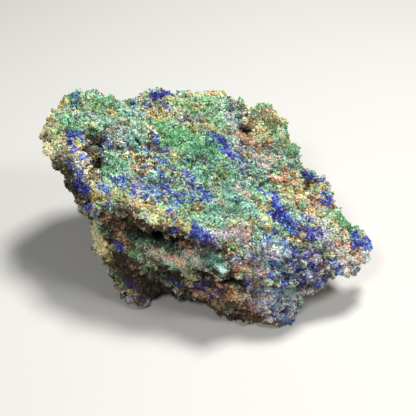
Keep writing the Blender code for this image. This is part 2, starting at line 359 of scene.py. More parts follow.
# Relief: what stands out of the skin and what is sunk in it, in mm. Pairs give where an effect
# starts and is full. The forms hold across, down, to across, down in the camera's frame, then
# radius and height; below nothing is a hollow.
relief = dict(
    lift=-0.55, bigSize=9.0, bigHeight=0.8, midSize=4.4, midHeight=1.1,
    bedStep=3.8, bedHeight=1.0, bedNormal=(0.17, -0.22, 1.0), bedWander=0.9, bedWanderSize=10.0,
    bedRise=(0.0, 0.3), bedFall=(0.45, 1.0), bedBase=0.4, bedPatch=7.0, bedUp=(0.3, 0.7),
    domeSize=3.3, domeHeight=2.2, knobSize=1.8, knobHeight=1.2, crumbSize=0.95, crumbHeight=0.6,
    domeReach=0.75, domeGap=0.25, domeBase=0.35, domeLeast=0.25, calmBy=0.8,
    crumbleSize=1.8, crumbleBy=0.45, formWanderSize=2.2, formWander=0.5, formSharp=1.6,
    forms=dict(
        holeByTheFold=((154, 145, 156, 150, 0.8, -3),),
        holeOnTheRight=((243, 129, 249, 131, 1, -2.8),),
        orangeHole=((129, 157, 134, 160, 0.7, -1.2),),
        hollow=((233, 281, 238, 284, 1, -1.6), (228, 276, 246, 287, 1.3, -1.6),
            (212, 284, 222, 292, 1.1, -1.6)),
        ochreHole=((177, 230, 181, 231, 0.6, -1.4),),
        botryoids=((112, 155, 122, 163, 1.6, 1.2),),
        underTheBlock=((128, 144, 134, 150, 0.9, -1), (104, 146, 108, 149, 0.6, -1.2)),
        topKnob=((74, 96, 90, 94, 1.2, 0.8),),
        edgeBump=((160, 95, 168, 95, 0.9, 0.8),),
        mintKnob=((247, 105, 252, 107, 0.9, 0.9), (263, 104, 265, 105, 0.7, 0.7), (260, 102, 268, 104, 1, 2)),
        rightKnob=((280, 112, 286, 124, 0.9, 0.5), (296, 147, 298, 150, 0.9, 0.5),
            (336, 218, 338, 220, 1.2, 0.5), (325, 196, 330, 200, 1, 0.5)),
        tipKnob=((360, 236, 368, 242, 1.5, 0.6), (370, 239, 374, 247, 1.8, 3.4)),
        tealLump=((197, 250, 210, 258, 1.5, 2.2), (211, 256, 222, 265, 1.7, 2.6)),
        ledge=((130, 248, 146, 257, 1.2, 1.5), (150, 254, 182, 263, 1.4, 2.4)),
        lilacSwell=((216, 236, 236, 244, 1.2, 0.5),),
        yellowKnob=((98, 230, 100, 242, 1.5, 0.5), (103, 247, 106, 255, 1.2, 1.2)),
        blueClump=((325, 281, 326, 283, 0.8, 0.1),),
        valley=((270, 173, 290, 176, 0.9, -0.8), (266, 180, 296, 186, 0.7, -0.5)),
        step=((286, 155, 292, 160, 0.7, -0.7), (236, 150, 250, 158, 0.7, -0.6),
            (200, 118, 208, 122, 0.6, 0.3)),
        ribByTheVein=((262, 203, 266, 226, 0.9, 0.5),),
        beltHollow=((155, 180, 200, 182, 0.9, -0.4),),
        lipKnob=((150, 214, 154, 218, 0.6, 0.5),),
        topEdge=((200, 98, 222, 96, 1.2, 0.4),),
        leftFoot=((131, 283, 140, 300, 1.3, 0.5), (138, 300, 148, 306, 1.3, 2.4),
            (122, 296, 130, 300, 1.3, -2), (116, 290, 126, 300, 1.6, -2.6)),
        roll=((262, 262, 300, 268, 1.5, 0.4),),
        ledgeEdge=((150, 266, 200, 279, 0.7, 1),),
        underTheLedge=((118, 268, 150, 272, 0.9, -1.2), (160, 276, 200, 285, 0.8, -1),
            (150, 268, 200, 286, 1.3, -1.4), (140, 262, 152, 268, 1, -1.4)),
        nodule=((204, 285, 214, 292, 1.2, 1), (225, 298, 250, 306, 1.2, 1), (180, 287, 198, 294, 1, 0.9)),
        pinkNodule=((243, 266, 256, 276, 1.5, 1.2), (236, 268, 262, 274, 1.4, 1.2)),
        gap=((258, 268, 262, 284, 0.9, -0.8), (220, 276, 230, 292, 0.8, -0.9),
            (262, 288, 300, 296, 0.9, -0.5), (228, 268, 238, 280, 1.1, -1.4)),
        peachSwell=((108, 104, 118, 108, 1.2, 0.4),),
        pit=((196, 105, 204, 108, 0.7, -0.6),),
        cavity=((88, 138, 94, 141, 0.7, -1.6), (94, 141, 99, 144, 0.9, -2.8)),
        crack=((88, 152, 98, 157, 0.9, -1.8), (97, 158, 100, 166, 0.8, -2.4), (93, 167, 89, 180, 0.7, -1.8)),
        recess=((103, 214, 124, 221, 2.2, -3), (122, 221, 142, 230, 2.1, -3.4),
            (142, 231, 158, 237, 1.9, -3.4), (156, 236, 184, 241, 1.8, -3.4),
            (184, 240, 206, 247, 1.5, -3), (206, 249, 226, 254, 1.1, -2), (156, 231, 184, 235, 1.2, -2),
            (134, 220, 152, 227, 1.4, -2.2), (116, 209, 134, 215, 1.1, -1.6),
            (160, 234, 172, 238, 1.3, -2.4), (184, 242, 200, 247, 1.4, -2.4)),
        fold=((128, 117, 140, 116, 1, 1.4), (131, 122, 133, 146, 1.1, 1.8), (144, 124, 147, 142, 0.9, 1.6)),
        foldCrease=((136, 138, 140, 150, 0.8, -1.2),),
        behindTheFold=((150, 122, 152, 140, 0.6, -1.6),),
        lip=((112, 206, 130, 213, 0.8, 0.6), (130, 213, 150, 222, 0.8, 0.7),
            (150, 223, 184, 229, 0.8, 0.8), (184, 230, 216, 243, 0.8, 0.8)),
        dustyBlock=((108, 128, 122, 130, 1.6, 1.2), (112, 136, 122, 146, 1.4, 0.8)),
        notch=((240, 98, 248, 105, 1.8, -3.2), (298, 158, 303, 163, 1, -1.4),
            (333, 206, 338, 212, 1.5, -3.4), (347, 229, 351, 231, 1.2, -1.8), (326, 276, 332, 280, 1, -1.6)),
        tipFoot=((343, 270, 356, 275, 1.4, 2.6),),
        rib=((100, 152, 104, 160, 0.8, 0.7), (184, 262, 192, 276, 0.8, 1)),
        neck=((88, 212, 92, 222, 1.2, -1.4), (90, 222, 96, 236, 1.5, -2.6)),
        tipSide=((370, 250, 372, 260, 1.6, 2.6),),
        lobeCorner=((64, 94, 80, 92, 1.5, 2.6),),
        rightRim=((258, 105, 284, 115, 1.5, 2.6), (254, 103, 266, 103, 1.5, 2.4),
            (274, 109, 282, 113, 1.5, 1.6)),
        topRim=((114, 98, 156, 95, 2, 2.6),),
        lobeRim=((46, 156, 54, 164, 1.3, -2.4),),
        cavityRoof=((92, 126, 102, 132, 1.2, 1.5),),
        footOfTheCorner=((266, 320, 288, 318, 1.7, 2.4),),
        side=((105, 258, 111, 270, 1.4, -2.6), (88, 228, 92, 238, 1.6, -3), (90, 246, 94, 254, 1.4, -2)),
        underTheLump=((206, 274, 228, 281, 1.2, -2.2),),
        tipTop=((354, 227, 363, 230, 1.3, -1.5),),
        swell=((226, 104, 236, 112, 1.4, 1.3),),
    ),
)


def reliefHeights(points, up, spec, calm, forms):
    # waves of two sizes, beds that step out of the flanks one over another, domes of three sizes
    # that fall off with the distance to seed points, and the listed forms; calm, 0 to 1, holds
    # the domes down where the malachite is smooth
    height = spec["lift"] + spec["bigHeight"] * softNoise(points, spec["bigSize"], 11, 2)
    height += spec["midHeight"] * softNoise(points, spec["midSize"], 12, 2)
    level = points @ np.array(spec["bedNormal"]) / spec["bedStep"]
    level += spec["bedWander"] * softNoise(points, spec["bedWanderSize"], 15, 2)
    part = level - np.floor(level)
    bed = smooth(*spec["bedRise"], part) * (1 - smooth(*spec["bedFall"], part)) - spec["bedBase"]
    patches = 0.5 + 0.5 * softNoise(points, spec["bedPatch"], 16)
    height += spec["bedHeight"] * bed * patches * (1 - smooth(*spec["bedUp"], up))
    crumbled = warped(points, spec["crumbleSize"], spec["crumbleBy"], 40)
    for kind, seed in (("dome", 210), ("knob", 220), ("crumb", 230)):
        first, second, home = nearestSeeds(crumbled, spec[kind + "Size"], seed)
        own = spec["domeLeast"] + (1 - spec["domeLeast"]) * cellRandom(home, seed + 5)
        dome = np.clip(1 - (first / spec["domeReach"])**2, 0, 1) * smooth(0, spec["domeGap"], second - first)
        height += spec[kind + "Height"] * (dome - spec["domeBase"]) * own * (1 - spec["calmBy"] * calm)
    far = toSegments(warped(points, spec["formWanderSize"], spec["formWander"], 50), forms)
    return height + (forms[:, 7] * np.exp(-((far / forms[:, 6])**2) * spec["formSharp"])).sum(1)


# Where each mineral grows, where it is calm, where light is painted by a raised tone and where shade is
# painted by a lowered tone:
# across, down, to across, down in the camera's frame, then radius in mm and strength.
minerals = dict(
    azurite=(
        (68, 93, 77, 94, 0.7, 0.6), (74, 98, 76, 104, 0.7, 0.5), (70, 132, 82, 134, 0.8, 0.85),
        (70, 138, 82, 141, 1, 0.8), (71, 145, 74, 151, 0.9, 0.85), (66, 160, 69, 163, 0.7, 0.5),
        (84, 156, 91, 163, 0.8, 0.7), (76, 172, 80, 178, 0.8, 0.45), (88, 178, 90, 182, 0.7, 0.4),
        (78, 184, 86, 190, 1.1, 0.9), (122, 98, 130, 98, 0.6, 0.7), (146, 102, 148, 108, 0.6, 0.6),
        (153, 95, 169, 95, 0.9, 1.1), (160, 103, 168, 109, 0.5, 0.5), (131, 105, 133, 106, 0.6, 0.5),
        (104, 138, 112, 145, 0.9, 0.55), (101, 150, 104, 160, 0.8, 0.6), (152, 135, 156, 139, 0.7, 0.7),
        (156, 142, 165, 149, 1, 0.75), (150, 146, 154, 150, 0.7, 0.6), (159, 158, 165, 162, 0.8, 0.8),
        (142, 166, 148, 166, 0.6, 0.6), (146, 150, 150, 156, 0.6, 0.4), (114, 178, 124, 184, 1, 0.55),
        (100, 186, 107, 193, 1, 0.7), (103, 203, 110, 206, 0.9, 0.5), (127, 185, 134, 188, 0.7, 0.6),
        (143, 184, 152, 190, 0.8, 0.6), (134, 195, 156, 199, 0.9, 0.6), (156, 168, 190, 176, 1.8, 0.15),
        (146, 182, 196, 188, 2.2, 0.2), (136, 190, 200, 198, 2.2, 0.26), (183, 172, 194, 177, 0.9, 0.6),
        (162, 176, 166, 190, 0.8, 0.5), (200, 190, 208, 200, 1.2, 0.8), (190, 176, 192, 190, 0.8, 0.5),
        (168, 187, 170, 191, 0.8, 0.7), (174, 196, 180, 202, 0.8, 0.5), (169, 212, 174, 216, 0.8, 0.9),
        (168, 226, 175, 229, 0.9, 0.95), (194, 224, 204, 228, 0.8, 0.6), (193, 232, 206, 241, 1.3, 1),
        (208, 238, 214, 243, 0.8, 0.5), (205, 162, 208, 164, 0.6, 0.5), (180, 121, 190, 123, 0.7, 0.5),
        (208, 133, 214, 138, 1, 0.8), (214, 138, 228, 147, 1.2, 0.9), (226, 155, 240, 162, 1, 1),
        (186, 160, 188, 163, 0.6, 0.5), (258, 190, 266, 195, 0.9, 0.85), (271, 194, 276, 203, 1, 1.1),
        (275, 203, 281, 213, 1.2, 1.1), (277, 214, 291, 223, 1.5, 1.3), (289, 223, 300, 231, 1.2, 1.1),
        (300, 229, 312, 238, 1.1, 1), (312, 231, 322, 236, 0.9, 0.8), (304, 216, 310, 220, 0.8, 0.8),
        (272, 233, 283, 244, 1.1, 0.6), (262, 234, 270, 239, 0.8, 0.5), (285, 245, 293, 249, 0.8, 0.6),
        (304, 174, 316, 182, 1.1, 0.7), (318, 178, 324, 180, 0.8, 0.5), (324, 192, 330, 199, 1, 0.8),
        (322, 202, 326, 206, 0.7, 0.4), (354, 235, 368, 240, 1.1, 0.9), (356, 243, 370, 247, 1.1, 0.85),
        (371, 240, 373, 248, 0.8, 0.6), (360, 252, 364, 254, 0.6, 0.4), (356, 270, 360, 272, 0.6, 0.5),
        (296, 252, 312, 260, 1.4, 0.45), (284, 262, 300, 268, 1.2, 0.3), (262, 276, 280, 278, 0.9, 0.4),
        (288, 279, 302, 285, 1.1, 0.65), (302, 278, 318, 284, 1.1, 0.45), (262, 286, 272, 296, 1.4, 0.3),
        (318, 262, 322, 266, 0.7, 0.4), (332, 262, 340, 269, 1, 0.75), (323, 279, 332, 285, 1, 0.85),
        (300, 270, 320, 276, 1.2, 0.3), (276, 316, 290, 322, 1.1, 0.6), (250, 300, 262, 310, 1.3, 0.25),
        (262, 250, 290, 256, 1.2, 0.2), (116, 244, 123, 249, 0.9, 0.9), (170, 278, 179, 285, 1, 0.7),
        (206, 283, 212, 295, 1.1, 1), (196, 283, 200, 289, 0.8, 0.6), (232, 256, 238, 262, 0.8, 0.6),
        (243, 277, 250, 284, 0.9, 0.7), (214, 316, 238, 319, 0.9, 0.5), (126, 280, 136, 288, 1, 0.5),
        (86, 206, 98, 213, 1.2, 0.45), (268, 258, 284, 266, 1.3, 0.3), (276, 268, 292, 276, 1, 0.4),
        (308, 264, 316, 270, 0.9, 0.4), (250, 240, 262, 244, 0.7, 0.3), (286, 250, 298, 256, 1, 0.35),
        (70, 166, 82, 172, 1.2, 0.25), (262, 296, 296, 312, 2.4, 0.22), (284, 276, 302, 284, 1.2, 1.2),
        (304, 250, 322, 258, 1.3, 0.3), (274, 213, 284, 224, 1.3, 1.3), (210, 284, 224, 291, 0.9, 0.6),
        (292, 216, 302, 226, 1, 0.5), (208, 284, 222, 292, 1, 0.9), (284, 226, 294, 232, 1, 0.8),
        (300, 222, 312, 230, 1, 0.3), (306, 254, 320, 262, 1.2, 0.5), (172, 203, 180, 208, 1, 0.3),
        (282, 278, 300, 284, 1, 0.8), (116, 242, 124, 248, 0.8, 0.6), (210, 140, 220, 148, 1.1, 0.5),
        (318, 228, 324, 234, 0.8, 0.4), (276, 240, 282, 246, 0.8, 0.4),
    ),
    ochre=(
        (64, 103, 58, 110, 1.1, 0.9), (56, 112, 49, 122, 1.2, 0.95), (48, 124, 45, 138, 1.3, 0.9),
        (45, 140, 47, 150, 1.4, 0.9), (48, 152, 56, 160, 1.2, 0.9), (60, 163, 66, 170, 1, 0.6),
        (52, 128, 62, 148, 2, 0.3), (90, 121, 93, 125, 0.7, 0.6), (74, 150, 90, 176, 2.2, 0.55),
        (100, 106, 108, 110, 0.8, 0.5), (110, 112, 113, 113, 0.7, 0.9), (88, 166, 96, 176, 0.9, 0.6),
        (88, 180, 94, 198, 1.2, 0.75), (98, 196, 110, 202, 1.2, 0.6), (88, 152, 98, 156, 0.8, 0.6),
        (147, 106, 152, 112, 0.7, 0.5), (152, 113, 160, 118, 1, 0.7), (163, 110, 168, 114, 0.7, 0.6),
        (170, 97, 186, 101, 1, 0.5), (195, 94, 222, 95, 1.1, 0.6), (172, 106, 182, 110, 1, 0.35),
        (190, 104, 200, 108, 1.2, 0.5), (188, 126, 204, 134, 1.4, 0.35), (204, 118, 212, 128, 1.2, 0.5),
        (128, 156, 140, 160, 0.9, 1.1), (165, 153, 176, 156, 0.9, 0.6), (137, 161, 150, 163, 0.9, 0.5),
        (133, 191, 136, 193, 0.6, 0.9), (138, 204, 150, 208, 1.1, 0.7), (150, 207, 170, 214, 1.3, 0.7),
        (150, 216, 166, 224, 1.2, 0.65), (178, 228, 184, 234, 0.8, 0.8), (170, 219, 186, 226, 1.2, 0.5),
        (196, 205, 202, 208, 0.8, 0.6), (112, 196, 130, 200, 1.3, 0.4), (250, 108, 268, 114, 1.3, 0.8),
        (250, 118, 262, 128, 1.6, 0.6), (262, 118, 274, 126, 1.4, 0.4), (276, 116, 280, 122, 0.9, 0.5),
        (283, 140, 288, 148, 1, 0.4), (256, 132, 268, 140, 1.4, 0.45), (286, 189, 300, 196, 1.4, 0.75),
        (262, 206, 267, 226, 1.1, 0.8), (283, 210, 287, 214, 0.7, 0.5), (296, 226, 304, 234, 1.1, 0.7),
        (286, 239, 302, 244, 1.3, 0.6), (312, 184, 324, 188, 0.9, 0.6), (308, 206, 322, 214, 1.2, 0.35),
        (350, 250, 360, 255, 0.9, 0.6), (330, 252, 334, 255, 0.7, 0.4), (212, 174, 218, 178, 0.9, 0.5),
        (222, 172, 230, 180, 1.3, 0.3), (236, 222, 256, 228, 1.1, 0.5), (264, 228, 272, 232, 0.8, 0.6),
        (94, 227, 100, 241, 1.4, 1.3), (98, 242, 108, 255, 1.4, 1.25), (106, 258, 112, 262, 0.8, 0.7),
        (178, 262, 192, 276, 0.9, 0.8), (150, 250, 160, 255, 0.9, 0.5), (112, 268, 120, 282, 1.2, 0.5),
        (125, 284, 136, 291, 1, 0.6), (228, 252, 236, 257, 0.8, 0.5), (133, 250, 148, 262, 1.6, 0.4),
        (236, 296, 240, 300, 0.8, 0.4), (316, 214, 336, 222, 1.4, 0.35), (210, 284, 236, 302, 2, 0.3),
        (94, 230, 104, 252, 1.6, 2), (312, 190, 320, 198, 1, 0.4),
    ),
    blush=(
        (143, 146, 152, 151, 0.8, 1), (131, 167, 146, 170, 1, 0.4), (134, 202, 148, 206, 1, 0.5),
        (200, 161, 206, 164, 0.8, 0.4), (240, 133, 256, 144, 1.8, 0.7), (234, 128, 240, 136, 0.9, 0.4),
        (250, 150, 270, 160, 2, 0.35), (262, 165, 274, 169, 0.8, 0.4), (268, 177, 298, 182, 0.9, 1.1),
        (284, 168, 296, 174, 0.8, 0.8), (298, 164, 304, 170, 0.9, 0.7), (238, 187, 248, 194, 1, 0.5),
        (218, 202, 224, 206, 0.9, 0.5), (272, 110, 281, 118, 1, 0.6), (282, 119, 290, 130, 1, 0.4),
        (300, 194, 324, 204, 1.6, 0.4), (296, 204, 310, 212, 1.4, 0.5), (325, 200, 332, 206, 0.9, 0.6),
        (336, 226, 344, 234, 1.1, 0.5), (338, 242, 350, 250, 1.2, 0.7), (342, 256, 362, 260, 1.2, 0.6),
        (348, 268, 354, 272, 1.1, 0.6), (206, 93, 214, 95, 0.8, 0.4), (228, 228, 246, 232, 0.9, 0.4),
        (310, 256, 322, 266, 1.4, 0.35), (106, 218, 122, 228, 1.3, 0.6), (116, 236, 128, 244, 1.1, 0.8),
        (154, 253, 182, 260, 1.3, 0.85), (184, 246, 196, 256, 1.1, 0.9), (200, 244, 216, 250, 0.9, 0.4),
        (236, 268, 252, 275, 1.3, 0.9), (248, 262, 264, 272, 1.3, 0.7), (250, 278, 256, 284, 0.9, 0.7),
        (212, 282, 230, 296, 1.6, 0.85), (226, 292, 250, 304, 1.8, 0.6), (194, 292, 204, 298, 1.2, 0.5),
        (240, 306, 262, 314, 1.6, 0.5), (130, 260, 150, 268, 1.2, 0.3), (262, 296, 290, 316, 2.2, 0.22),
        (200, 292, 214, 302, 1.2, 0.6), (350, 248, 362, 252, 1, 0.8), (258, 140, 280, 150, 1.6, 0.3),
        (268, 177, 296, 181, 0.8, 0.6), (246, 146, 262, 156, 1.2, 0.4), (150, 252, 182, 260, 1.1, 0.6),
        (258, 206, 264, 212, 0.7, 0.3), (150, 251, 184, 261, 1, 0.5),
    ),
    pale=(
        (88, 91, 98, 93, 0.9, 0.4), (62, 105, 74, 112, 1.4, 0.2), (76, 110, 90, 114, 1.4, 0.3),
        (106, 126, 122, 132, 1.6, 0.25), (116, 134, 126, 146, 1.6, 0.22), (104, 128, 108, 136, 1, 0.4),
        (184, 116, 200, 119, 1.6, 0.3), (222, 106, 240, 114, 1.8, 0.6), (226, 116, 238, 122, 1.6, 0.6),
        (229, 126, 236, 132, 1, 0.6), (236, 140, 246, 150, 1.4, 0.3), (195, 166, 200, 169, 0.8, 0.5),
        (238, 164, 246, 170, 1, 0.5), (236, 188, 248, 196, 1.1, 0.5), (206, 232, 226, 235, 1.2, 1),
        (226, 232, 242, 240, 1.5, 0.9), (212, 240, 222, 243, 0.9, 0.6), (240, 242, 260, 250, 1.3, 0.6),
        (250, 250, 280, 256, 1.6, 0.7), (280, 250, 300, 256, 1.5, 0.5), (316, 240, 338, 246, 1.8, 0.8),
        (322, 228, 336, 238, 1.4, 0.5), (300, 242, 316, 250, 1.3, 0.4), (262, 262, 296, 272, 2.4, 0.45),
        (256, 284, 296, 300, 2.8, 0.5), (262, 302, 288, 314, 2.6, 0.5), (296, 286, 312, 292, 1.6, 0.5),
        (308, 256, 326, 272, 2, 0.55), (340, 264, 358, 274, 1.5, 0.7), (352, 258, 366, 264, 1.2, 0.6),
        (328, 182, 331, 186, 0.8, 0.5), (128, 294, 148, 302, 1.8, 0.9), (113, 285, 118, 290, 0.9, 0.6),
        (152, 251, 162, 255, 0.8, 0.5), (218, 300, 232, 308, 1.3, 0.5), (86, 206, 96, 214, 1.2, 0.3),
        (84, 156, 92, 172, 1.2, 0.3), (268, 232, 276, 236, 0.8, 0.4), (266, 318, 274, 324, 1.1, 0.6),
        (238, 258, 256, 264, 1.3, 0.4), (78, 160, 88, 180, 1.4, 0.3), (262, 272, 300, 284, 1.6, 0.35),
        (316, 208, 330, 216, 1.2, 0.4), (96, 172, 104, 190, 1.2, 0.2), (246, 258, 262, 266, 1.1, 1),
        (234, 229, 248, 233, 1, 0.7), (288, 291, 300, 298, 1, 0.8), (350, 248, 362, 252, 1, 0.5),
        (128, 177, 142, 184, 1.2, 0.5), (262, 243, 276, 248, 1, 0.6), (308, 276, 320, 282, 1, 0.6),
        (256, 150, 290, 164, 2, 0.3), (208, 231, 224, 236, 1, 0.5), (308, 200, 322, 206, 1, 0.3),
        (226, 104, 236, 112, 1.2, 0.4), (340, 268, 356, 276, 1, 0.5), (256, 158, 268, 168, 1.1, 0.5),
        (252, 160, 264, 168, 1, 0.3),
    ),
    # umber, a dark brown earth, also laid thick as painted shade in the recess under the lip, the undercut,
    # the foot and the left flank
    umber=(
        (88, 138, 101, 144, 1, 1.4), (94, 141, 100, 144, 1, 1.2), (88, 150, 100, 158, 1, 1.2),
        (96, 158, 101, 166, 1, 1.3), (92, 166, 89, 180, 0.8, 0.8), (62, 168, 73, 188, 1.3, 0.9),
        (72, 186, 84, 200, 1.4, 1), (150, 120, 152, 134, 0.6, 0.5), (131, 136, 138, 152, 0.6, 0.4),
        (137, 157, 140, 159, 0.6, 0.8), (154, 146, 157, 149, 0.8, 1), (145, 104, 149, 108, 0.7, 0.6),
        (153, 114, 157, 117, 0.6, 0.5), (163, 108, 167, 112, 0.7, 0.4), (241, 127, 250, 132, 0.9, 1.2),
        (298, 162, 303, 168, 0.8, 0.7), (208, 134, 222, 146, 1.3, 0.25), (306, 174, 318, 182, 1.3, 0.3),
        (103, 214, 124, 222, 1.5, 0.9), (118, 222, 140, 234, 1.8, 1.2), (138, 230, 156, 238, 1.6, 1.3),
        (154, 235, 182, 243, 1.6, 1.1), (180, 238, 204, 247, 1.2, 1), (204, 247, 226, 254, 0.8, 0.8),
        (110, 228, 116, 246, 1.5, 0.8), (118, 254, 146, 276, 2.6, 0.85), (150, 268, 178, 282, 1.8, 0.9),
        (176, 278, 204, 298, 2.2, 0.9), (150, 284, 186, 300, 3, 1.3), (186, 302, 240, 316, 1.8, 1),
        (228, 274, 246, 287, 1.3, 1), (200, 272, 212, 280, 0.9, 0.6), (198, 249, 214, 254, 0.8, 0.5),
        (256, 286, 262, 296, 0.9, 0.5), (250, 318, 262, 322, 1, 0.6), (108, 262, 114, 270, 1, 0.6),
        (318, 268, 330, 275, 0.9, 0.6), (262, 281, 274, 286, 0.8, 0.4), (286, 284, 300, 290, 0.8, 0.4),
        (140, 300, 154, 308, 1.2, 0.7), (88, 141, 97, 146, 0.8, 0.8), (178, 226, 188, 238, 1, 0.9),
        (156, 231, 184, 237, 1.3, 1.1), (136, 221, 152, 228, 1.3, 1.1), (118, 210, 134, 216, 1, 0.9),
        (104, 203, 112, 208, 0.8, 0.5), (104, 162, 110, 168, 0.9, 0.3), (242, 144, 258, 150, 1.1, 0.35),
        (264, 262, 300, 274, 2, 0.35), (147, 147, 153, 153, 0.6, 0.6), (286, 168, 297, 172, 0.7, 0.35),
        (106, 262, 120, 272, 1.2, 0.5), (184, 242, 200, 249, 1.2, 0.8), (322, 180, 332, 190, 1, 0.25),
        (150, 231, 162, 236, 1, 2.5), (160, 232, 176, 238, 1.1, 3), (176, 235, 188, 241, 1, 2),
        (140, 262, 152, 269, 1, 1.6), (118, 256, 136, 262, 1.6, 1), (206, 273, 228, 280, 1.1, 2),
        (210, 284, 224, 291, 0.9, 0.8), (228, 304, 246, 309, 1, 1.4), (246, 312, 262, 318, 1, 1.2),
        (284, 277, 302, 284, 1, 1.8), (304, 250, 322, 258, 1.3, 0.4), (118, 204, 136, 211, 1.1, 0.7),
        (96, 150, 106, 164, 0.9, 0.8), (150, 266, 178, 271, 1, 2.2), (214, 250, 230, 257, 1, 1),
        (232, 272, 244, 282, 1, 1.2), (156, 246, 172, 250, 0.9, 0.9), (114, 274, 130, 284, 1.4, 1),
        (150, 146, 160, 154, 0.8, 0.6), (104, 258, 112, 270, 1.2, 1.2), (212, 243, 226, 249, 0.9, 0.8),
        (90, 166, 94, 180, 0.8, 0.8), (84, 152, 92, 160, 0.9, 1.3), (58, 170, 70, 184, 1.3, 1.2),
        (184, 242, 200, 248, 1.1, 1.5), (230, 254, 240, 260, 0.8, 0.4), (214, 272, 228, 277, 0.9, 1.6),
        (150, 231, 168, 232, 0.9, 3.5), (208, 284, 222, 292, 1, 1.6), (194, 250, 206, 258, 0.9, 1.2),
        (128, 252, 142, 257, 1, 0.7), (244, 311, 262, 319, 1.1, 2), (188, 299, 202, 306, 1.2, 2),
        (204, 296, 244, 304, 1.3, 0.5), (118, 264, 146, 282, 2, 0.9), (110, 238, 118, 249, 1, 1),
        (194, 248, 206, 255, 1, 1.6), (128, 246, 148, 256, 1.3, 0.7), (138, 258, 150, 264, 1, 1),
        (152, 247, 170, 252, 0.9, 0.8), (86, 214, 94, 226, 1, 0.8), (88, 166, 96, 180, 0.9, 0.6),
        (84, 152, 90, 162, 1, 0.8), (228, 270, 240, 280, 1.1, 1), (196, 300, 210, 310, 1.4, 1.6),
        (168, 288, 184, 298, 1.6, 1.6), (110, 284, 124, 294, 1.3, 0.8), (104, 226, 116, 242, 1.2, 0.6),
        (244, 286, 256, 294, 1, 0.7), (264, 320, 280, 326, 1, 0.6), (300, 178, 306, 184, 0.7, 0.6),
        (120, 222, 150, 236, 1.4, 0.8), (76, 184, 90, 192, 1, 0.7), (162, 268, 176, 274, 1.1, 1.4),
        (130, 266, 146, 284, 1.8, 1), (200, 250, 208, 256, 0.8, 1.2), (234, 274, 242, 280, 0.8, 1),
        (158, 226, 168, 230, 0.8, 1.2), (186, 294, 198, 302, 1.2, 1.6), (58, 172, 68, 184, 1.2, 1),
        (230, 274, 242, 282, 1, 1), (194, 248, 202, 255, 1, 1.2), (84, 153, 90, 160, 0.8, 0.7),
        (60, 172, 66, 184, 1.3, 1.6), (82, 150, 88, 156, 0.8, 0.9), (54, 160, 62, 170, 1, 0.7),
    ),
    teal=(
        (126, 116, 148, 122, 1.2, 0.8), (132, 122, 142, 130, 1.2, 0.7), (130, 135, 146, 150, 1.6, 0.8),
        (84, 114, 100, 119, 1.3, 0.5), (104, 146, 126, 160, 1.8, 0.35), (112, 158, 128, 170, 1.8, 0.4),
        (226, 104, 240, 112, 1.6, 0.4), (226, 118, 238, 127, 1.6, 0.5), (246, 104, 252, 108, 0.8, 0.4),
        (200, 176, 230, 186, 2.2, 0.45), (232, 180, 262, 192, 2.4, 0.45), (206, 196, 232, 206, 2.2, 0.5),
        (230, 198, 254, 212, 2.2, 0.75), (214, 208, 240, 218, 2, 0.6), (253, 214, 262, 222, 1.1, 0.8),
        (240, 165, 264, 176, 2.2, 0.4), (190, 150, 204, 162, 1.8, 0.3), (280, 148, 298, 158, 1.6, 0.35),
        (290, 160, 298, 166, 1, 0.3), (252, 232, 286, 250, 1, 0.6), (212, 216, 228, 224, 1.4, 0.5),
        (240, 256, 280, 262, 1.1, 0.5), (264, 262, 282, 272, 1.6, 0.5), (286, 290, 302, 304, 1.8, 0.7),
        (343, 249, 350, 262, 1, 0.8), (364, 256, 371, 262, 0.8, 0.6), (300, 304, 308, 308, 1, 0.4),
        (183, 250, 190, 264, 1, 0.8), (196, 252, 214, 262, 1.4, 1.1), (212, 256, 227, 271, 1.6, 1.3),
        (160, 262, 180, 269, 0.9, 0.7), (130, 238, 148, 246, 1.3, 0.4), (150, 234, 176, 244, 1.6, 0.3),
        (133, 252, 148, 264, 1.4, 0.4), (112, 270, 118, 276, 0.8, 0.3), (108, 124, 126, 146, 2, 0.5),
        (266, 290, 300, 306, 2.4, 0.3), (300, 166, 312, 170, 0.9, 0.5), (250, 152, 270, 168, 1.8, 0.3),
        (156, 174, 170, 180, 1.2, 0.6), (262, 243, 276, 248, 1, 0.4), (222, 104, 240, 120, 1.6, 0.5),
        (204, 150, 216, 160, 1.2, 0.6), (288, 152, 300, 160, 1, 0.4), (256, 204, 266, 216, 1, 0.6),
        (126, 134, 138, 144, 1, 0.6), (172, 200, 182, 208, 1.2, 0.4), (290, 140, 298, 150, 1, 0.4),
        (70, 134, 84, 142, 1.2, 0.2), (340, 250, 348, 262, 0.9, 0.6), (226, 104, 236, 112, 1.2, 0.6),
    ),
    mint=(
        (70, 100, 100, 104, 1.8, 0.5), (84, 96, 104, 102, 1.5, 0.6), (70, 118, 88, 124, 1.6, 0.5),
        (54, 130, 62, 146, 1.2, 0.4), (100, 100, 130, 104, 1.3, 0.4), (162, 128, 206, 138, 2.2, 0.9),
        (172, 140, 212, 148, 2.2, 0.9), (160, 140, 172, 148, 1.2, 0.5), (172, 98, 188, 103, 1.2, 0.6),
        (204, 98, 218, 110, 1.6, 0.6), (180, 104, 214, 116, 2.4, 0.4), (216, 112, 224, 124, 1.4, 0.4),
        (104, 156, 126, 170, 2, 0.4), (104, 170, 122, 178, 1.4, 0.7), (246, 104, 253, 107, 0.9, 0.9),
        (261, 103, 266, 106, 0.8, 0.8), (281, 121, 286, 126, 0.9, 0.7), (266, 127, 273, 132, 1, 0.7),
        (292, 138, 298, 150, 1.2, 0.7), (176, 164, 200, 170, 1.4, 0.4), (200, 168, 230, 176, 1.8, 0.5),
        (328, 213, 344, 222, 1.6, 0.9), (338, 222, 346, 228, 1, 0.5), (92, 221, 98, 228, 1, 0.8),
        (96, 230, 108, 256, 1.2, 0.25), (134, 252, 150, 266, 1.5, 0.7), (164, 264, 180, 270, 0.9, 0.6),
        (112, 270, 120, 282, 1.1, 0.5), (212, 152, 226, 160, 1.6, 0.4), (152, 124, 164, 134, 1.2, 0.3),
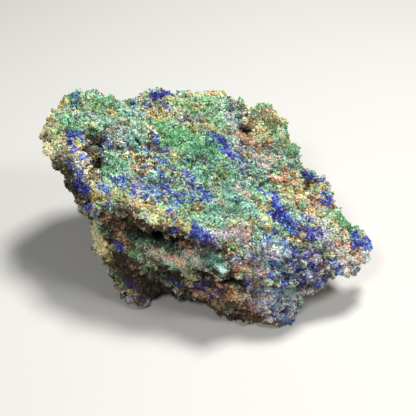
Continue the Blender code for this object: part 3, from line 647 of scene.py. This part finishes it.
        (276, 158, 288, 164, 1.2, 0.3), (186, 212, 206, 222, 1.6, 0.5), (108, 206, 122, 212, 1, 0.4),
        (262, 300, 290, 316, 2.2, 0.2), (256, 210, 264, 214, 0.8, 0.3), (94, 124, 104, 131, 1.2, 0.8),
        (134, 250, 146, 258, 1.2, 0.6), (266, 125, 280, 134, 1.2, 0.5), (108, 103, 122, 110, 1.2, 0.6),
        (196, 96, 222, 104, 1.4, 0.4), (264, 120, 280, 132, 1.2, 0.5), (70, 100, 96, 108, 1.4, 0.3),
        (264, 118, 276, 126, 1.2, 0.4), (108, 103, 120, 110, 1.2, 0.6), (300, 166, 312, 170, 0.8, 0.5),
        (72, 90, 84, 96, 1, 0.4), (64, 120, 76, 128, 1.1, 0.6),
    ),
    calm=(
        (132, 119, 144, 123, 1.2, 0.9), (132, 136, 144, 148, 1.5, 0.9), (112, 155, 121, 163, 1.6, 0.4),
        (230, 110, 238, 125, 1.5, 0.7), (354, 236, 368, 247, 1.5, 0.5),
    ),
    # painted light: spots where the tone is raised on the knobs, ledges and lumps that stand into the light
    paintedLight=(
        (94, 227, 108, 255, 1.8, 1.4), (45, 130, 50, 155, 1.6, 0.5), (70, 100, 110, 108, 2, 0.3),
        (130, 175, 150, 195, 2.2, 0.4), (200, 185, 260, 215, 4.5, 0.35), (180, 210, 230, 226, 2.5, 0.35),
        (150, 250, 182, 262, 1.6, 1.3), (196, 254, 228, 278, 2, 1.2), (340, 255, 360, 270, 2.5, 1),
        (356, 236, 370, 248, 1.8, 0.7), (270, 175, 298, 182, 1.6, 0.5), (316, 222, 345, 236, 2.2, 0.5),
        (246, 263, 262, 272, 0.9, 0.5), (262, 300, 290, 314, 3, 0.4), (246, 104, 266, 106, 1, 0.6),
        (200, 170, 212, 176, 1.3, 0.8), (262, 243, 276, 247, 1, 0.6), (128, 155, 142, 162, 1, 0.7),
        (52, 126, 60, 142, 1.5, 0.8), (52, 155, 60, 162, 1.1, 0.7), (134, 176, 146, 182, 1.3, 0.6),
        (156, 172, 170, 178, 1.2, 0.5), (116, 247, 150, 262, 1.3, 0.8), (212, 280, 240, 300, 1.6, 0.5),
        (285, 206, 340, 238, 3, 0.4), (45, 125, 60, 150, 2, 0.4), (74, 150, 90, 180, 2, 0.5),
        (134, 160, 142, 163, 0.8, 0.8), (178, 254, 188, 260, 1, 0.6), (262, 296, 292, 316, 3, 0.35),
        (250, 108, 274, 124, 2.2, 0.3), (226, 256, 250, 264, 1.5, 0.4), (94, 124, 104, 131, 1.2, 0.8),
        (266, 125, 280, 134, 1.2, 1), (246, 258, 262, 266, 1.1, 0.6), (234, 229, 248, 233, 1, 0.6),
        (288, 291, 300, 298, 1.2, 0.9), (350, 248, 362, 252, 1, 1), (128, 177, 142, 184, 1.2, 0.8),
        (156, 174, 170, 180, 1.2, 0.8), (262, 243, 276, 248, 1, 1), (184, 214, 198, 222, 1.3, 0.6),
        (222, 104, 240, 120, 1.6, 0.6), (118, 104, 136, 112, 1.4, 0.8), (308, 276, 320, 282, 1, 0.8),
        (94, 230, 104, 252, 1.6, 1.5), (250, 140, 296, 165, 2.5, 0.3), (206, 231, 226, 236, 1, 0.7),
        (268, 177, 296, 181, 0.8, 0.7), (100, 104, 220, 118, 3, 0.25), (256, 298, 290, 314, 2.5, 0.4),
        (262, 120, 280, 132, 1.4, 0.8), (252, 106, 270, 116, 1.6, 0.5), (136, 162, 146, 168, 1, 0.5),
        (132, 186, 142, 196, 1.4, 0.4), (96, 246, 106, 254, 1, 0.5), (306, 190, 322, 202, 1.4, 0.6),
        (264, 118, 280, 128, 1.4, 0.7), (108, 103, 120, 110, 1.3, 0.7), (70, 130, 84, 142, 1.4, 0.4),
        (254, 258, 264, 266, 1, 0.8), (248, 120, 262, 130, 1.3, 0.5), (268, 176, 298, 183, 0.9, 0.7),
        (336, 262, 356, 276, 1.4, 0.6), (226, 104, 236, 112, 1.3, 0.6), (196, 98, 222, 112, 2, 0.3),
        (356, 250, 366, 262, 1.2, 0.5), (72, 92, 82, 94, 1, 0.8), (66, 122, 74, 128, 1, 0.8),
        (256, 158, 266, 168, 1.2, 0.7),
    ),
    # painted shade: spots where the tone is lowered, in the recess under the lip, the undercut, the foot, the
    # left flank and the cracks
    paintedShade=(
        (60, 165, 84, 200, 3, 1), (120, 255, 150, 285, 3, 0.8), (150, 280, 190, 300, 3.5, 1),
        (262, 274, 318, 286, 1.5, 0.5), (296, 250, 312, 262, 1.5, 0.5), (118, 222, 156, 238, 2.5, 0.8),
        (194, 236, 207, 242, 1.2, 0.6), (210, 232, 240, 240, 1.5, 0.35), (255, 258, 300, 284, 3, 0.6),
        (296, 276, 318, 286, 1.2, 0.5), (86, 132, 100, 160, 1.2, 0.5), (246, 144, 252, 150, 0.8, 0.8),
        (220, 228, 230, 234, 0.9, 0.7), (262, 276, 300, 284, 1.6, 0.7), (310, 250, 322, 262, 1.8, 0.4),
        (86, 150, 92, 160, 0.8, 0.6), (92, 150, 102, 168, 1, 0.6), (100, 160, 112, 170, 1.2, 0.4),
        (284, 276, 302, 286, 1.2, 1), (304, 250, 322, 258, 1.4, 0.8), (120, 150, 132, 156, 1, 0.6),
        (118, 204, 136, 210, 1.2, 0.6), (150, 268, 180, 280, 2, 0.6), (112, 272, 130, 286, 2, 0.8),
        (270, 214, 286, 224, 1.4, 0.5), (204, 284, 246, 306, 2.5, 0.7), (118, 264, 146, 290, 2.5, 1),
        (214, 270, 228, 278, 1, 0.8), (110, 236, 120, 250, 1.2, 0.8), (258, 204, 266, 216, 1.2, 0.5),
        (126, 134, 138, 144, 1.2, 0.6), (306, 252, 322, 262, 1.6, 0.8), (150, 150, 160, 156, 1, 0.6),
        (130, 246, 150, 266, 1.6, 0.6), (206, 262, 232, 276, 2, 0.5), (196, 206, 262, 214, 2, 0.3),
        (104, 214, 150, 236, 2.5, 0.5), (152, 206, 180, 222, 2, 0.2), (282, 276, 302, 286, 1.4, 0.8),
        (160, 226, 170, 231, 0.9, 0.6), (264, 140, 296, 158, 2, 0.3), (150, 296, 200, 306, 2, 1),
        (118, 262, 146, 292, 2.4, 0.8), (340, 222, 350, 228, 1, 0.6), (150, 262, 180, 276, 1.4, 0.5),
    ),
)

# dark, middle and light of each mineral
tints = dict(
    mint=((0.038, 0.190, 0.068), (0.185, 0.495, 0.240), (0.590, 0.870, 0.620)),
    teal=((0.032, 0.135, 0.108), (0.168, 0.420, 0.355), (0.590, 0.830, 0.750)),
    azurite=((0.008, 0.010, 0.120), (0.030, 0.052, 0.430), (0.190, 0.310, 0.820)),
    ochre=((0.200, 0.130, 0.025), (0.640, 0.500, 0.160), (0.950, 0.910, 0.620)),
    blush=((0.190, 0.070, 0.036), (0.660, 0.320, 0.180), (0.970, 0.750, 0.620)),
    pale=((0.130, 0.115, 0.155), (0.400, 0.370, 0.440), (0.880, 0.850, 0.880)),
    # umber runs to near black, as it also carries painted shade
    umber=((0.006, 0.004, 0.002), (0.042, 0.024, 0.013), (0.200, 0.125, 0.075)),
)
kinds = tuple(tints)

# What decides the kinds and their tones. Pairs give where an effect starts and is full, the
# clumps are the size, strength and seed of each noise.
mixture = dict(
    wanderSize=2.0, wanderBy=0.5, topUp=(0.2, 0.7), topHigh=(9, 19), footHigh=(3, 16), sunkDeep=(0.2, 1.8),
    patchSize=11.0, patchBy=1.5, patchSeed=70, azuritePatch=(0.35, 0.75), listedOver=0.85,
    clumps=((1.0, 0.9, 80), (2.4, 0.7, 130)), chanceBy=0.8, leastChance=1e-4,
    middleTone=0.55, toneSize=5.0, toneBy=0.54, hollowDeep=(0.2, 2.0), hollowShadeBy=0.25,
    paintedLightBy=0.4, paintedShadeBy=0.5, denseAzurite=(0.6, 1.2), denseBy=0.2,
    grainSize=0.8, grainWarp=1.8, grainBy=0.3, skinChance=0.75, crumbChance=0.7,
)


def mineralShares(points, up, height):
    # each kind's share from 0 to 1: a ground mixture that differs between the open top, the
    # flanks and the foot, drifting patches of noise, and the listed spots on top of both
    wander = warped(points, mixture["wanderSize"], mixture["wanderBy"], 60)
    top = smooth(*mixture["topUp"], up) * smooth(*mixture["topHigh"], points[:, 2])
    flank = 1 - top
    sunk = smooth(*mixture["sunkDeep"], -height)
    foot = 1 - smooth(*mixture["footHigh"], points[:, 2])
    size, seed = mixture["patchSize"], mixture["patchSeed"]
    drift = {kind: softNoise(points, size, seed + k, 2) for k, kind in enumerate(kinds)}
    patch = smooth(*mixture["azuritePatch"], drift["azurite"])
    ground = dict(
        mint=1.5 * top + 0.34 * flank * (1 - 0.6 * foot),
        teal=0.42 * top + 0.26 * flank,
        azurite=0.09 + 0.7 * patch * (1 - 0.8 * top),
        ochre=0.36 + 0.34 * flank,
        blush=0.26 + 0.34 * flank,
        pale=0.30 + 0.22 * flank,
        # umber with painted shade: more on the flanks, at the foot and in hollows
        umber=0.05 + 0.5 * flank + 0.6 * foot + 1.6 * sunk,
    )
    ground = {kind: ground[kind] * np.exp(mixture["patchBy"] * drift[kind]) for kind in kinds}
    listed = {kind: spotField(wander, spots[kind]) for kind in kinds}
    whole = sum(ground.values())
    left = 1 - mixture["listedOver"] * np.clip(sum(listed.values()), 0, 1)
    shares = {kind: left * ground[kind] / whole + listed[kind] for kind in kinds}
    total = sum(shares.values())
    return {kind: share / total for kind, share in shares.items()}


def toneOf(points, height, chance, spread):
    # 0 dark to 1 light: drifts over the rock, differs from crumb to crumb, is raised on the painted light
    # spots, lowered for painted shade in hollows and on the painted shade spots, and lower in the dense
    # azurite
    drift = mixture["toneBy"] * softNoise(points, mixture["toneSize"], 95, 2)
    drift -= mixture["hollowShadeBy"] * smooth(*mixture["hollowDeep"], -height)
    paintedShade = mixture["paintedShadeBy"] * spotField(points, spots["paintedShade"])
    drift += mixture["paintedLightBy"] * spotField(points, spots["paintedLight"]) - paintedShade
    drift -= mixture["denseBy"] * smooth(*mixture["denseAzurite"], spotField(points, spots["azurite"]))
    return np.clip(mixture["middleTone"] + drift + spread * (chance - 0.5), 0, 1)


def aroundOf(shares):
    # the mean colour of the minerals that grow there: each kind's middle tint by its share
    return sum(shares[kind][:, None] * np.array(tints[kind][1]) for kind in kinds)


def chosenKinds(points, shares, chances):
    # the kind with the highest sum of the logarithm of its share, noise in clumps of two sizes,
    # and -log(-log(number)) of a random number from 0 to 1, by chanceBy
    scores = []
    for k, (kind, chance) in enumerate(zip(kinds, chances)):
        score = np.log(shares[kind] + mixture["leastChance"])
        for size, by, seed in mixture["clumps"]:
            score = score + by * softNoise(points, size, seed + k)
        number = np.clip(chance, mixture["leastChance"], 1 - mixture["leastChance"])
        scores.append(score - mixture["chanceBy"] * np.log(-np.log(number)))
    return np.array(scores).argmax(0)


skin, quads, sheet, faceOf = skinOfSolid(rockSkin)
print("skin laid on the solid:", len(skin), "points")
normals = vertexNormals(skin, quads)
plainTree = BVHTree.FromPolygons(skin.tolist(), quads.tolist())
calm = spotField(skin, placesSeen(plainTree, minerals["calm"]))
forms = placesSeen(plainTree, [row for rows in relief["forms"].values() for row in rows])
height = reliefHeights(skin, normals[:, 2], relief, calm, forms)
skin = skin + height[:, None] * normals
skin[:, 2] = np.maximum(skin[:, 2], 0)
normals = vertexNormals(skin, quads)
reliefTree = BVHTree.FromPolygons(skin.tolist(), quads.tolist())
spots = {kind: placesSeen(reliefTree, rows) for kind, rows in minerals.items()}
print("relief raised and", sum(len(rows) for rows in spots.values()), "spots placed")
shares = mineralShares(skin, normals[:, 2], height)
grains = warped(skin, mixture["grainWarp"], mixture["grainBy"], 40)
_, _, home = nearestSeeds(grains, mixture["grainSize"], 300)
kindOf = chosenKinds(skin, shares, [cellRandom(home, 310 + k) for k in range(len(kinds))])
tone = toneOf(skin, height, cellRandom(home, 320), mixture["skinChance"])
dust = aroundOf(shares)
around = meanOfCells(skin, quads)
for _ in range(rockSkin["aroundRounds"]):
    around = meanOfCells(around, quads)
# dip is above a half in a dip and under it on a knob; the skin's finish paints shade where it is high
dip = np.clip(0.5 + ((around - skin) * normals).sum(1) * rockSkin["dipBy"], 0, 1)

rockPieces = []
for name, faces in rockSkin["groups"]:
    mine = np.concatenate([np.flatnonzero(faceOf == face) for face in faces])
    used, index = np.unique(quads[mine], return_inverse=True)
    piece = meshObject(name, skin[used], index.reshape(-1, 4))
    # the faces of a group stand side by side in its map
    column = np.searchsorted(np.sort(faces), faceOf[mine])[:, None]
    spread = rockSkin["mapMargin"] + (1 - 2 * rockSkin["mapMargin"]) * sheet[mine]
    spread[..., 0] = (spread[..., 0] + column) / len(faces)
    setMap(piece, "OFBake", spread)
    for k, kind in enumerate(kinds):
        setNumbers(piece, kind, kindOf[used] == k)
    setNumbers(piece, "tone", tone[used])
    setNumbers(piece, "dip", dip[used])
    setColours(piece, "dust", dust[used])
    rockPieces.append(piece)
    print(name + ":", 2 * len(mine), "triangles")


def ringFaces(count, low, high):
    # pairs of triangles between two rings of points that start at these numbers
    pairs = [(k, (k + 1) % count) for k in range(count)]
    return ([(low + k, low + after, high + after) for k, after in pairs]
            + [(low + k, high + after, high + k) for k, after in pairs])


def fanFaces(count, ring, tip):
    # triangles from a ring's sides to one point
    return [(ring + k, ring + (k + 1) % count, tip) for k in range(count)]


def chipForm():
    # two three-sided pyramids on one base: five points and six triangles
    turns = 2 * np.pi * np.arange(3) / 3
    ring = np.stack([0.72 * np.cos(turns), 0.72 * np.sin(turns), np.zeros(3)], axis=1)
    points = np.concatenate([ring, [(0, 0, 0.66), (0, 0, -0.66)]])
    under = [(b, a, tip) for a, b, tip in fanFaces(3, 0, 4)]
    return points, np.array(fanFaces(3, 0, 3) + under)


def crystalForm():
    # a four-sided prism under a slanting point, closed below by two triangles
    ring = np.array([(0.5, 0, 0), (0, 0.36, 0), (-0.5, 0, 0), (0, -0.36, 0)])
    points = np.concatenate([ring * 0.9 + (0, 0, -0.7), ring + (0, 0, 0.35), [(0.12, 0.05, 0.95)]])
    return points, np.array(ringFaces(4, 0, 4) + fanFaces(4, 4, 8) + [(0, 2, 1), (0, 3, 2)])


# Crumbs and crystals strewn over the skin: sizes in mm, stretch along x, y and z, lean in radians,
# how deep they are sunk, how far their corners stray, how dusty they are and how rough.
# Fewer grow near the foot and on faces that look down.
chip = dict(form=chipForm, jitter=0.22, dusty=0.25)
crystal = dict(form=crystalForm, jitter=0.10, dusty=0.12)
crumbs = dict(
    density=4.0, seed=5, footShare=0.3, footHigh=(0.4, 3.0), underShare=0.45, underUp=(-0.75, -0.1),
    stretchRange=(0.75, 1.3), sizeSpread=0.36, sizeDrift=0.25, sizeDriftOver=4.0, sizeRange=(0.2, 0.95),
    raised=0.31, tipOver=1.1, overTable=0.02, calmShare=0.75, mapHalf=0.4,
    mint=dict(
        chip, piece="malachite_crumbs", size=0.43, stretch=(1.0, 0.9, 1.0), lean=1.2, sunk=0.08,
        rough=(0.5, 0.8)),
    teal=dict(
        chip, piece="teal_malachite_crumbs", size=0.42, stretch=(1.2, 0.75, 1.0), lean=1.2, sunk=0.10,
        rough=(0.45, 0.75)),
    azurite=dict(
        crystal, piece="azurite_crystals", size=0.46, stretch=(1.1, 0.95, 1.0), lean=1.1, sunk=0.04,
        rough=(0.22, 0.5)),
    ochre=dict(
        chip, piece="ochre_crumbs", size=0.43, stretch=(1.0, 0.95, 0.95), lean=1.2, sunk=0.08,
        rough=(0.6, 0.9)),
    blush=dict(
        chip, piece="blush_clay_crumbs", size=0.42, stretch=(1.1, 0.95, 0.9), lean=1.2, sunk=0.10,
        rough=(0.6, 0.9)),
    pale=dict(
        chip, piece="pale_quartz_crumbs", size=0.42, stretch=(1.0, 0.85, 1.0), lean=1.2, sunk=0.08,
        rough=(0.4, 0.7)),
    # dark crumbs of umber, which also stand for painted shade where they gather in recesses
    umber=dict(
        chip, piece="umber_crumbs", size=0.46, stretch=(1.15, 0.9, 0.85), lean=1.0, sunk=0.12,
        rough=(0.6, 0.9)),
)


def thinned(least, edges, values):
    # the share that is left: least below the first edge, all of it above the second
    return least + (1 - least) * smooth(*edges, values)


def strewnPlaces(spec, rng):
    # every quad gets its area times the density in crumbs, at random places inside it
    corners = skin[quads]
    crosses = crossed(corners)
    length = np.linalg.norm(crosses, axis=1)
    share = thinned(spec["footShare"], spec["footHigh"], corners[:, :, 2].mean(1))
    share *= thinned(spec["underShare"], spec["underUp"], crosses[:, 2] / np.maximum(length, tiny))
    count = np.floor(length / 2 * spec["density"] * share + rng.random(len(quads))).astype(int)
    quad = np.repeat(np.arange(len(quads)), count)
    u, v = rng.random((2, len(quad), 1))
    weights = ((1 - u) * (1 - v), u * (1 - v), u * v, (1 - u) * v)

    def blend(values):
        # the values at the quad's four corners, each by its weight
        return sum(weight * values[:, k] for k, weight in enumerate(weights))

    place, normal = blend(corners[quad]), blend(normals[quads[quad]])
    normal /= np.linalg.norm(normal, axis=1, keepdims=True)
    return place, normal, blend(height[quads[quad]][..., None])[:, 0]


def strewCrumbs(spec, place, normal, deep, dust, rng):
    # copies of one form: corners jittered, stretched, sized, leant at random, stood along the
    # normal and sunk a little; tone is random and drifts over the rock, tip is 0 below and 1 on top
    form, faces = spec["form"]()
    n = len(place)
    shaped = form + spec["jitter"] * rng.uniform(-1, 1, (n, len(form), 3))
    shaped *= np.array(spec["stretch"]) * rng.uniform(*crumbs["stretchRange"], (n, 1, 3))
    drift = 1 + crumbs["sizeDrift"] * softNoise(place, crumbs["sizeDriftOver"], 90)
    size = spec["size"] * np.exp(crumbs["sizeSpread"] * rng.standard_normal(n)) * drift
    size = np.clip(size, *crumbs["sizeRange"])
    shaped *= size[:, None, None]
    lean = spec["lean"] * rng.uniform(-1, 1, (n, 2))
    spin = turned(np.column_stack([lean, rng.uniform(0, 2 * np.pi, n)]))
    shaped = np.einsum("nij,nkj->nki", spin, shaped)
    across = np.cross(normal, np.where(np.abs(normal[:, :1]) < 0.7, (1.0, 0, 0), (0, 1.0, 0)))
    across /= np.linalg.norm(across, axis=1, keepdims=True)
    stood = np.stack([across, np.cross(normal, across), normal], axis=2)
    # tip sets the painted shade on each crumb, darker towards its sunk side
    tip = np.clip(0.5 + shaped[..., 2] / (crumbs["tipOver"] * size[:, None]), 0, 1)
    centre = place + normal * (size * (crumbs["raised"] - spec["sunk"]))[:, None]
    points = np.einsum("nij,nkj->nki", stood, shaped) + centre[:, None]
    points[..., 2] = np.maximum(points[..., 2], crumbs["overTable"])
    tops = np.repeat(toneOf(place, deep, rng.random(n), mixture["crumbChance"]), len(form))
    index = (np.arange(n)[:, None, None] * len(form) + faces).reshape(-1, 3)
    piece = meshObject(spec["piece"], points.reshape(-1, 3), index)
    setNumbers(piece, "tone", tops)
    setNumbers(piece, "tip", tip.ravel())
    setColours(piece, "dust", np.repeat(dust, len(form), axis=0))
    # in the map each crumb has a small square of its own, seen from above
    side = math.ceil(n**0.5)
    home = np.stack([np.arange(n) % side, np.arange(n) // side], axis=1)
    flat = shaped[..., :2] / np.abs(shaped[..., :2]).max(axis=(1, 2))[:, None, None]
    squares = (home[:, None] + 0.5 + crumbs["mapHalf"] * flat) / side
    setMap(piece, "OFBake", squares.reshape(-1, 2)[index.ravel()])
    print(spec["piece"] + ":", n, "crumbs,", len(index), "triangles")
    return piece


rng = np.random.default_rng(crumbs["seed"])
place, normal, deep = strewnPlaces(crumbs, rng)
crumbShares = mineralShares(place, normal[:, 2], deep)
crumbDust = aroundOf(crumbShares)
bare = spotField(place, spots["calm"])
chosen = chosenKinds(place, crumbShares, rng.random((len(kinds), len(place))))
kept = rng.random(len(place)) > crumbs["calmShare"] * bare
pieces = {}
for k, kind in enumerate(kinds):
    mine = (chosen == k) & kept
    pieces[kind] = strewCrumbs(crumbs[kind], place[mine], normal[mine], deep[mine], crumbDust[mine], rng)


class Wire:
    # an output socket; + - * on wires and numbers add Math nodes
    def __init__(self, finish, socket):
        self.finish, self.socket = finish, socket

    def __add__(self, other):
        return self.finish.maths("ADD", self, other)

    def __sub__(self, other):
        return self.finish.maths("SUBTRACT", self, other)

    def __mul__(self, other):
        return self.finish.maths("MULTIPLY", self, other)

    def __rsub__(self, other):
        return self.finish.maths("SUBTRACT", other, self)

    __radd__, __rmul__ = __add__, __mul__


class Finish:
    # one material and its nodes
    def __init__(self, name):
        self.material = bpy.data.materials.new(name)
        self.material.use_nodes = True
        self.tree = self.material.node_tree
        self.shader = self.tree.nodes["Principled BSDF"]
        self.spot = self.node("ShaderNodeTexCoord", {}, {}).outputs["Object"]

    def feed(self, socket, value):
        # a link from a wire or an output, or a plain value
        if isinstance(value, Wire):
            value = value.socket
        if isinstance(value, bpy.types.NodeSocket):
            self.tree.links.new(value, socket)
        else:
            socket.default_value = value

    def node(self, kind, settings, sockets):
        made = self.tree.nodes.new(kind)
        for key, value in settings.items():
            if key == "stops":
                ramp = made.color_ramp.elements
                while len(ramp) < len(value):
                    ramp.new(0.5)
                for stop, (at, colour) in zip(ramp, value):
                    stop.position, stop.color = at, (*colour, 1.0)
            else:
                setattr(made, key, value)
        for key, value in sockets.items():
            self.feed(made.inputs[key], value)
        return made

    def maths(self, operation, first, second):
        made = self.node("ShaderNodeMath", dict(operation=operation), {0: first, 1: second})
        return Wire(self, made.outputs[0])

    def read(self, name):
        return self.node("ShaderNodeAttribute", dict(attribute_name=name), {})

    def number(self, name):
        return Wire(self, self.read(name).outputs["Fac"])

    def hue(self, name):
        return self.read(name).outputs["Color"]

    def noise(self, perMetre, detail=2.0):
        made = self.node("ShaderNodeTexNoise", {}, dict(Vector=self.spot, Scale=perMetre, Detail=detail))
        return Wire(self, made.outputs["Fac"])

    def tinted(self, tone, tints):
        stops = [(k / (len(tints) - 1), tint) for k, tint in enumerate(tints)]
        return self.node("ShaderNodeValToRGB", dict(stops=stops), dict(Fac=tone)).outputs["Color"]

    def step(self, value, low, high):
        sockets = {"Value": value, "From Min": low, "From Max": high}
        made = self.node("ShaderNodeMapRange", dict(interpolation_type="SMOOTHSTEP"), sockets)
        return Wire(self, made.outputs["Result"])

    def mix(self, factor, first, second):
        sockets = {0: factor, 6: first, 7: second}
        return self.node("ShaderNodeMix", dict(data_type="RGBA"), sockets).outputs[2]

    def surface(self, colour, rough, bumps=None):
        # bumps are their height, strength and distance in metres
        self.feed(self.shader.inputs["Base Color"], colour)
        self.feed(self.shader.inputs["Roughness"], rough)
        if bumps:
            made = self.node("ShaderNodeBump", {}, dict(zip(("Height", "Strength", "Distance"), bumps)))
            self.feed(self.shader.inputs["Normal"], made.outputs["Normal"])
        return self.material


# noises in counts a metre; pairs give where an effect starts and is full
looks = dict(
    crumbGrain=2600.0, crumbGrainBy=0.5, crumbBumps=5200.0, crumbBumpBy=0.25, bumpHigh=0.0002,
    # painted shade on the crumbs: darker towards their sunk side, down to the lowest light, in this colour
    tipFrom=(0.1, 0.85), lowestLight=0.3, shade=(0.012, 0.010, 0.008, 1.0),
    skinGrain=2400.0, skinGrainBy=0.7, fringe=0.5, fringeFrom=(0.38, 0.62), skinDusty=0.3,
    # painted shade in the skin's dips: where it starts and is full, its strength and its colour
    dipFrom=(0.42, 0.85), dipShade=0.9, dipShadeColour=(0.014, 0.010, 0.007, 1.0),
    skinBumps=4200.0, skinBumpBy=0.35, skinDetail=3.0, skinRough=(0.6, 0.9),
)


def crumbFinish(kind):
    # each crumb takes its tone from the kind's three tints; shade is painted on its sunk side
    spec = crumbs[kind]
    finish = Finish(spec["piece"] + "_finish")
    grain = finish.noise(looks["crumbGrain"])
    tone = finish.number("tone") + (grain - 0.5) * looks["crumbGrainBy"]
    colour = finish.mix(spec["dusty"], finish.tinted(tone, tints[kind]), finish.hue("dust"))
    # painted shade: from the shade colour at a crumb's bottom to its own colour at its top
    tip = finish.step(finish.number("tip"), *looks["tipFrom"])
    lit = tip * (1 - looks["lowestLight"]) + looks["lowestLight"]
    low, high = spec["rough"]
    bumps = (finish.noise(looks["crumbBumps"]), looks["crumbBumpBy"], looks["bumpHigh"])
    return finish.surface(finish.mix(lit, looks["shade"], colour), grain * (high - low) + low, bumps)


def skinFinish():
    # the seven kinds one over another, each where its number and a fine noise pass a half;
    # the tone picks between the kind's tints, and shade is painted in the dips
    finish = Finish("rock_skin_finish")
    fine = finish.noise(looks["skinGrain"], looks["skinDetail"])
    tone = finish.number("tone") + (fine - 0.5) * looks["skinGrainBy"]
    colour = finish.tinted(tone, tints[kinds[0]])
    for k, kind in enumerate(kinds[1:]):
        fringe = -looks["fringe"] if k % 2 else looks["fringe"]
        there = finish.step(finish.number(kind) + (fine - 0.5) * fringe, *looks["fringeFrom"])
        colour = finish.mix(there, colour, finish.tinted(tone, tints[kind]))
    colour = finish.mix(looks["skinDusty"], colour, finish.hue("dust"))
    # painted shade: the colour is drawn towards near black in the dips
    shadeInDips = finish.step(finish.number("dip"), *looks["dipFrom"]) * looks["dipShade"]
    colour = finish.mix(shadeInDips, colour, looks["dipShadeColour"])
    low, high = looks["skinRough"]
    bumps = (finish.noise(looks["skinBumps"], looks["skinDetail"]), looks["skinBumpBy"], looks["bumpHigh"])
    return finish.surface(colour, fine * (high - low) + low, bumps)


rockFinish = skinFinish()
for piece in rockPieces:
    piece.data.materials.append(rockFinish)
for kind in kinds:
    pieces[kind].data.materials.append(crumbFinish(kind))
print("materials done")

for piece in (*rockPieces, *pieces.values()):
    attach(piece, "root")
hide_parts("azurite_rock")

half = studio["floorSize"] / 2
floorCorners = np.array([(-half, -half, 0), (half, -half, 0), (half, half, 0), (-half, half, 0)])
floor = meshObject("floor", floorCorners, np.array([(0, 1, 2, 3)]))
floorFinish = Finish("floor_finish")
pale = (*studio["floorColour"], 1.0)
shaded = (*(studio["floorShade"] * part for part in studio["floorColour"]), 1.0)
floorTone = floorFinish.mix(floorFinish.noise(studio["floorGrain"]), pale, shaded)
floor.data.materials.append(floorFinish.surface(floorTone, studio["floorRough"]))

target = np.array(studio["target"]) * mm
for k, (stand, width, power, colour) in enumerate(studio["lamps"]):
    lamp = bpy.data.lights.new("lamp%d" % k, "AREA")
    lamp.shape, lamp.size, lamp.energy, lamp.color = "SQUARE", width * mm, power, colour
    holder = inScene(lamp.name, lamp)
    holder.location = np.array(stand) * mm
    # a lamp shines down its own z, so it is tipped about x and then turned towards the target
    x, y, z = target - np.array(holder.location)
    holder.rotation_euler = (math.atan2(math.hypot(x, y), -z), 0, math.atan2(y, x) - math.pi / 2)

scene = bpy.context.scene
world = bpy.data.worlds.new("studio")
world.use_nodes = True
background = world.node_tree.nodes["Background"].inputs
background["Color"].default_value = (*studio["worldColour"], 1.0)
background["Strength"].default_value = studio["worldStrength"]
scene.world = world
scene.view_settings.view_transform = "Standard"

camera = bpy.data.cameras.new("camera")
camera.lens, camera.sensor_width = studio["lens"], studio["sensor"]
camera.clip_start, camera.clip_end = studio["clipStart"] * mm, studio["clipEnd"] * mm
tripod = inScene("camera", camera)
tripod.location = viewAxes(studio)[0] * mm
tripod.rotation_euler = (math.radians(90 - studio["elevation"]), 0, 0)
scene.camera = tripod
print("light and camera done")
